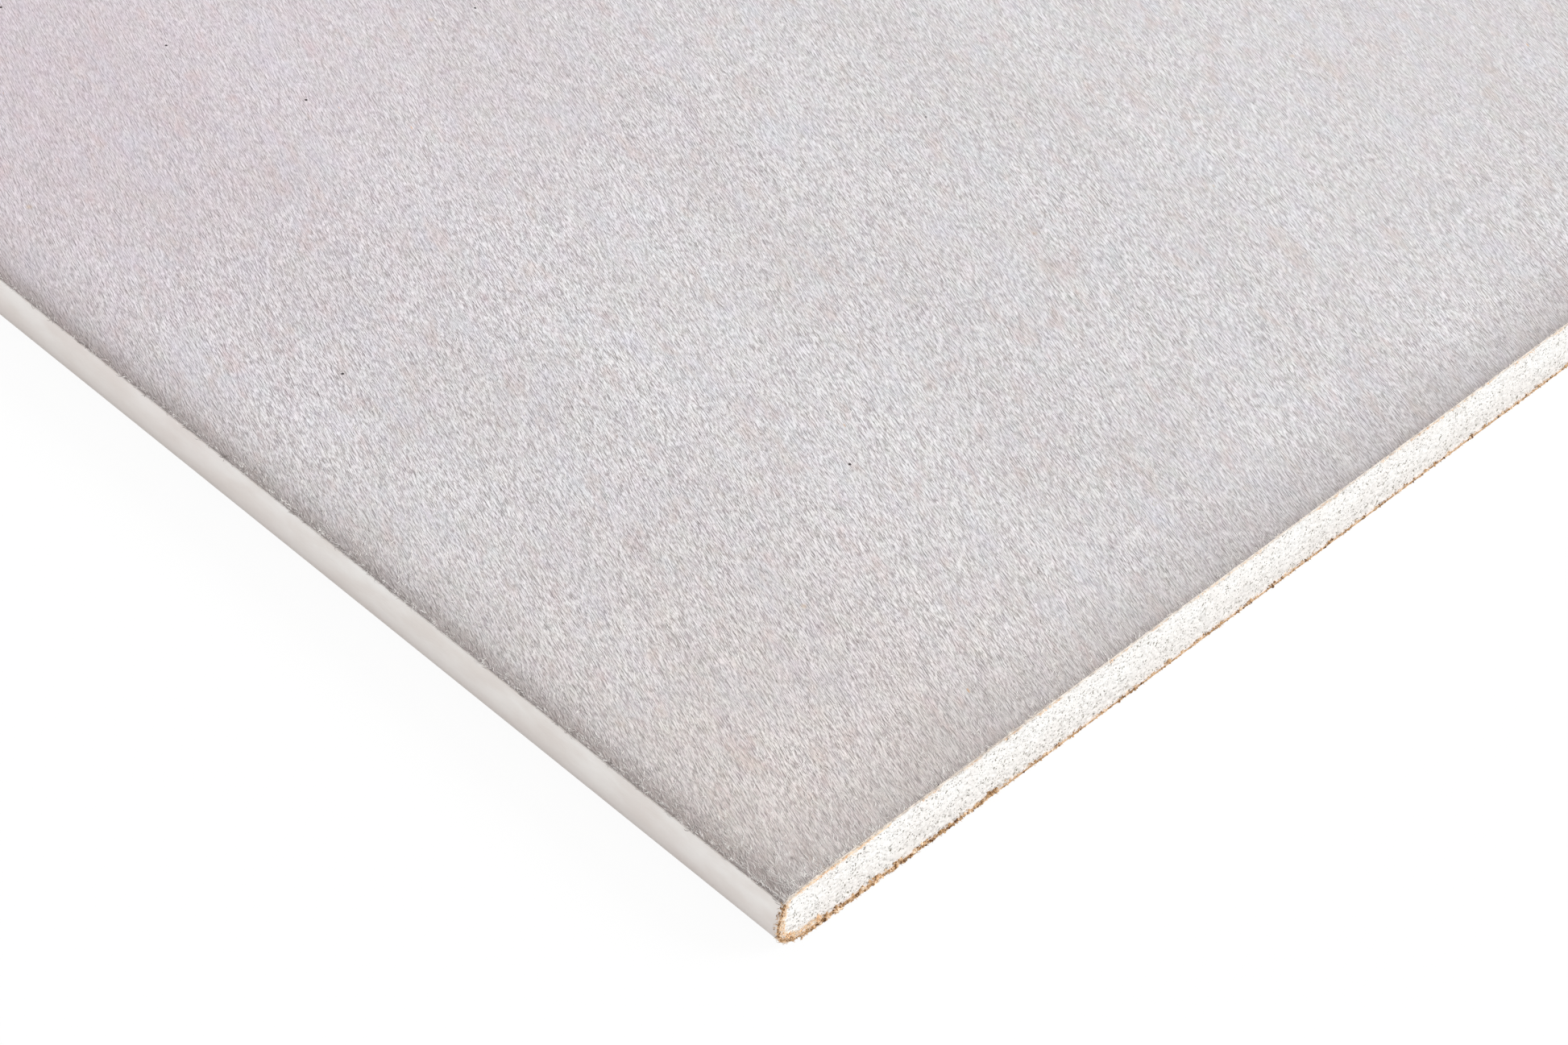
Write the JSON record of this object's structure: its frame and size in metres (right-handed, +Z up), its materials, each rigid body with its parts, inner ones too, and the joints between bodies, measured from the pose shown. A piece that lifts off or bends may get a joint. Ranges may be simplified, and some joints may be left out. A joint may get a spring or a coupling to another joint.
{
  "type": "drywall sheet",
  "caption": "Full drywall sheet lying face down: a gypsum core wrapped in a paper face liner with rounded, tapered long edges and a grey paper back liner; both ends cut square.",
  "frame": {"origin": "under the middle of the sheet, at the height of its face, which lies on the floor", "axes": "+X along the sheet's length, +Y across its width, +Z up, out of the sheet's back"},
  "size_m": [2.4, 1.2, 0.0125],
  "materials": {
    "gypsum": "matt, foamed white gypsum with small pores",
    "face_paper": "matt, smooth ivory paper",
    "back_paper": "matt, coarse grey recycled paper with visible fibres"
  },
  "bodies": {
    "root": {"gypsum_core": "gypsum", "face_liner": "face_paper", "back_liner": "back_paper"}
  },
  "joints": []
}
